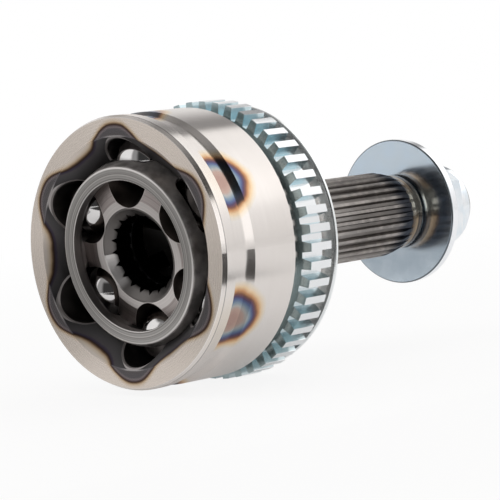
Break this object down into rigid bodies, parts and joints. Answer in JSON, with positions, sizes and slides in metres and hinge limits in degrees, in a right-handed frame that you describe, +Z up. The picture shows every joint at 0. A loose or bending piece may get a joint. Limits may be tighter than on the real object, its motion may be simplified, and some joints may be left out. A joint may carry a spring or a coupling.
{
  "type": "outer constant velocity joint",
  "caption": "Outer constant velocity joint: bell with six ball tracks, cage, balls and inner race, toothed sensor ring, dust shield, splined stub shaft, washer and hub nut.",
  "frame": {"origin": "the joint centre, where the shaft axis meets the plane of the six balls when the joint is straight", "axes": "+Y along the stub shaft from the bell's mouth to the hub nut, +X along the hinge of the joint's bend, +Z up, with the joint lying on its side"},
  "size_m": [0.0892, 0.1594, 0.0892],
  "materials": {
    "machined_steel": "ground and turned steel with heat tint",
    "ring_zinc": "blue-white zinc plate",
    "shield_zinc": "zinc plated sheet",
    "cage_steel": "turned and hardened steel",
    "race_steel": "turned and ground steel",
    "ball_steel": "polished",
    "spring_steel": "dark spring wire",
    "fastener_zinc": "blue-white zinc plate"
  },
  "bodies": {
    "outer": {"outer_race": "machined_steel", "tone_ring": "ring_zinc", "dust_shield": "shield_zinc"},
    "inner": {"inner_race": "race_steel", "retaining_circlip": "spring_steel"},
    "cage": {"cage": "cage_steel"},
    "ball_1": {"ball_1": "ball_steel"},
    "ball_2": {"ball_2": "ball_steel"},
    "ball_3": {"ball_3": "ball_steel"},
    "ball_4": {"ball_4": "ball_steel"},
    "ball_5": {"ball_5": "ball_steel"},
    "ball_6": {"ball_6": "ball_steel"},
    "washer": {"washer": "fastener_zinc"},
    "nut": {"axle_nut": "fastener_zinc"}
  },
  "joints": [
    {"name": "articulation", "type": "hinge", "parent": "outer", "child": "inner", "pos_m": [0, 0, 0], "axis": [1, 0, 0], "range_deg": [-54.24, 35.76]},
    {"name": "cage_turn", "type": "hinge", "parent": "outer", "child": "cage", "pos_m": [0, 0, 0], "axis": [1, 0, 0], "range_deg": [-28.12, 18.88]},
    {"name": "ball_1_roll", "type": "hinge", "parent": "outer", "child": "ball_1", "pos_m": [0, -0.0034, 0], "axis": [-0.5, 0, 0.866], "range_deg": [-10.26, 15.05]},
    {"name": "ball_2_roll", "type": "hinge", "parent": "outer", "child": "ball_2", "pos_m": [0, -0.0034, 0], "axis": [-1, 0, 0], "range_deg": [-18.88, 28.12]},
    {"name": "ball_3_roll", "type": "hinge", "parent": "outer", "child": "ball_3", "pos_m": [0, -0.0034, 0], "axis": [-0.5, 0, -0.866], "range_deg": [-10.26, 15.05]},
    {"name": "ball_4_roll", "type": "hinge", "parent": "outer", "child": "ball_4", "pos_m": [0, -0.0034, 0], "axis": [0.5, 0, -0.866], "range_deg": [-14.99, 10.23]},
    {"name": "ball_5_roll", "type": "hinge", "parent": "outer", "child": "ball_5", "pos_m": [0, -0.0034, 0], "axis": [1, 0, 0], "range_deg": [-28.12, 18.88]},
    {"name": "ball_6_roll", "type": "hinge", "parent": "outer", "child": "ball_6", "pos_m": [0, -0.0034, 0], "axis": [0.5, 0, 0.866], "range_deg": [-14.99, 10.23]},
    {"name": "washer_turn", "type": "hinge", "parent": "outer", "child": "washer", "pos_m": [0, 0.1189, 0], "axis": [0, 1, 0], "continuous": true},
    {"name": "nut_turn", "type": "hinge", "parent": "outer", "child": "nut", "pos_m": [0, 0.1254, 0], "axis": [0, 1, 0], "continuous": true}
  ],
  "couplings": [
    {"joint": "cage_turn", "follows": "articulation", "ratio": 0.5},
    {"joint": "ball_1_roll", "follows": "articulation", "ratio": -0.259},
    {"joint": "ball_2_roll", "follows": "articulation", "ratio": -0.5},
    {"joint": "ball_3_roll", "follows": "articulation", "ratio": -0.259},
    {"joint": "ball_4_roll", "follows": "articulation", "ratio": 0.258},
    {"joint": "ball_5_roll", "follows": "articulation", "ratio": 0.5},
    {"joint": "ball_6_roll", "follows": "articulation", "ratio": 0.258}
  ]
}
